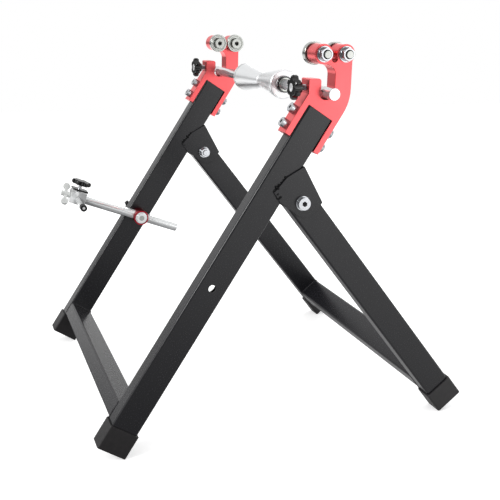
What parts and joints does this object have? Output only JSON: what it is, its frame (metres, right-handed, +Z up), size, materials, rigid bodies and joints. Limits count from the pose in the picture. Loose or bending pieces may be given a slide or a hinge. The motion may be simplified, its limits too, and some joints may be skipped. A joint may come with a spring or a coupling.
{
  "type": "wheel truing stand",
  "caption": "Folding truing and balancing stand for motorcycle wheels, with a coned shaft held in slotted heads, bearing rollers above and a pointer on a clamped arm.",
  "frame": {"origin": "on the floor, at the middle of the part's overall box", "axes": "+X to the right along the shaft, +Y to the rear, +Z up"},
  "size_m": [0.5088, 0.5622, 0.551],
  "materials": {
    "frame_paint": "satin powder coat",
    "foot_cap": "fine textured",
    "red_anodised": "brushed and anodised",
    "turned_aluminium": "satin, turned",
    "bearing_steel": "ground",
    "bright_steel": "bright plated",
    "black_plastic": "glossy",
    "pale_plastic": "satin"
  },
  "bodies": {
    "front_frame": {"left_front_leg": "frame_paint", "right_front_leg": "frame_paint", "front_crossbar": "frame_paint", "left_front_foot": "foot_cap", "right_front_foot": "foot_cap", "left_hinge_bracket": "frame_paint", "right_hinge_bracket": "frame_paint", "hinge_bolts": "bright_steel", "hinge_washers": "bright_steel", "hinge_nuts": "bright_steel", "left_head": "red_anodised", "right_head": "red_anodised", "head_screws": "bright_steel", "head_nuts": "bright_steel", "roller_bolts": "bright_steel", "roller_nuts": "bright_steel", "roller_spacers": "bearing_steel", "roller_inner_rings": "bearing_steel"},
    "rear_frame": {"left_rear_leg": "frame_paint", "right_rear_leg": "frame_paint", "rear_crossbar": "frame_paint", "left_rear_foot": "foot_cap", "right_rear_foot": "foot_cap"},
    "shaft": {"axle_shaft": "bright_steel"},
    "left_cone": {"left_cone": "turned_aluminium", "left_lock_ring": "black_plastic", "left_grub_screw": "bright_steel"},
    "right_cone": {"right_cone": "turned_aluminium", "right_lock_ring": "black_plastic", "right_grub_screw": "bright_steel"},
    "left_front_roller": {"left_front_roller": "bearing_steel"},
    "left_rear_roller": {"left_rear_roller": "bearing_steel"},
    "right_front_roller": {"right_front_roller": "bearing_steel"},
    "right_rear_roller": {"right_rear_roller": "bearing_steel"},
    "left_clamp_screw": {"left_clamp_screw": "bright_steel"},
    "left_clamp_knob": {"left_clamp_knob": "black_plastic"},
    "right_clamp_screw": {"right_clamp_screw": "bright_steel"},
    "right_clamp_knob": {"right_clamp_knob": "black_plastic"},
    "arm_clamp": {"arm_clamp": "red_anodised", "arm_stud": "bright_steel"},
    "arm_knob": {"arm_knob": "black_plastic"},
    "arm_rod": {"arm_rod": "bright_steel"},
    "cross_clamp": {"cross_clamp": "bright_steel", "cross_clamp_plate": "black_plastic"},
    "cross_knob": {"cross_clamp_knob": "black_plastic", "cross_clamp_screw": "bright_steel"},
    "wing_screw": {"wing_screw": "pale_plastic"},
    "pointer": {"pointer_rod": "bright_steel", "pointer_tip": "black_plastic"}
  },
  "joints": [
    {"name": "rear_frame_fold", "type": "hinge", "parent": "front_frame", "child": "rear_frame", "pos_m": [0, 0.00213, 0.34148], "axis": [-1, 0, 0], "range_deg": [0, 70]},
    {"name": "shaft_spin", "type": "hinge", "parent": "front_frame", "child": "shaft", "pos_m": [0.0019, 0.03421, 0.48597], "axis": [1, 0, 0], "continuous": true},
    {"name": "left_cone_slide", "type": "slide", "parent": "shaft", "child": "left_cone", "axis": [-1, 0, 0], "range_m": [0, 0.11]},
    {"name": "right_cone_slide", "type": "slide", "parent": "shaft", "child": "right_cone", "axis": [1, 0, 0], "range_m": [0, 0.11]},
    {"name": "left_front_roller_spin", "type": "hinge", "parent": "front_frame", "child": "left_front_roller", "pos_m": [-0.2011, 0.02481, 0.53597], "axis": [1, 0, 0], "continuous": true},
    {"name": "left_rear_roller_spin", "type": "hinge", "parent": "front_frame", "child": "left_rear_roller", "pos_m": [-0.2011, 0.05621, 0.53597], "axis": [1, 0, 0], "continuous": true},
    {"name": "right_front_roller_spin", "type": "hinge", "parent": "front_frame", "child": "right_front_roller", "pos_m": [0.2049, 0.02481, 0.53597], "axis": [1, 0, 0], "continuous": true},
    {"name": "right_rear_roller_spin", "type": "hinge", "parent": "front_frame", "child": "right_rear_roller", "pos_m": [0.2049, 0.05621, 0.53597], "axis": [1, 0, 0], "continuous": true},
    {"name": "left_clamp_travel", "type": "slide", "parent": "front_frame", "child": "left_clamp_screw", "axis": [0, -1, 0], "range_m": [0, 0.005]},
    {"name": "left_clamp_turn", "type": "hinge", "parent": "left_clamp_screw", "child": "left_clamp_knob", "pos_m": [-0.2206, -0.00049, 0.49297], "axis": [0, -1, 0], "range_deg": [0, 1440]},
    {"name": "right_clamp_travel", "type": "slide", "parent": "front_frame", "child": "right_clamp_screw", "axis": [0, -1, 0], "range_m": [0, 0.005]},
    {"name": "right_clamp_turn", "type": "hinge", "parent": "right_clamp_screw", "child": "right_clamp_knob", "pos_m": [0.2244, -0.00049, 0.49297], "axis": [0, -1, 0], "range_deg": [0, 1440]},
    {"name": "arm_swivel", "type": "hinge", "parent": "front_frame", "child": "arm_clamp", "pos_m": [-0.2081, -0.12244, 0.23137], "axis": [1, 0, 0], "range_deg": [-60, 60]},
    {"name": "arm_knob_turn", "type": "hinge", "parent": "arm_clamp", "child": "arm_knob", "pos_m": [-0.245, -0.12244, 0.23137], "axis": [-1, 0, 0], "range_deg": [0, 360]},
    {"name": "arm_rod_slide", "type": "slide", "parent": "arm_clamp", "child": "arm_rod", "axis": [0, -0.9397, 0.342], "range_m": [-0.06, 0.055]},
    {"name": "cross_clamp_turn", "type": "hinge", "parent": "arm_rod", "child": "cross_clamp", "pos_m": [-0.1956, -0.12244, 0.23137], "axis": [0, -0.9397, 0.342], "range_deg": [-30, 30]},
    {"name": "cross_knob_turn", "type": "hinge", "parent": "cross_clamp", "child": "cross_knob", "pos_m": [-0.1956, -0.23379, 0.2719], "axis": [0, 0.342, 0.9397], "range_deg": [0, 360]},
    {"name": "wing_screw_turn", "type": "hinge", "parent": "cross_clamp", "child": "wing_screw", "pos_m": [-0.1956, -0.23379, 0.2719], "axis": [0, -0.9397, 0.342], "range_deg": [0, 360]},
    {"name": "pointer_slide", "type": "slide", "parent": "cross_clamp", "child": "pointer", "axis": [1, 0, 0], "range_m": [-0.05, 0.012]}
  ],
  "couplings": [
    {"joint": "left_clamp_turn", "follows": "left_clamp_travel", "rad_per_m": 5026.5},
    {"joint": "right_clamp_turn", "follows": "right_clamp_travel", "rad_per_m": 5026.5}
  ]
}
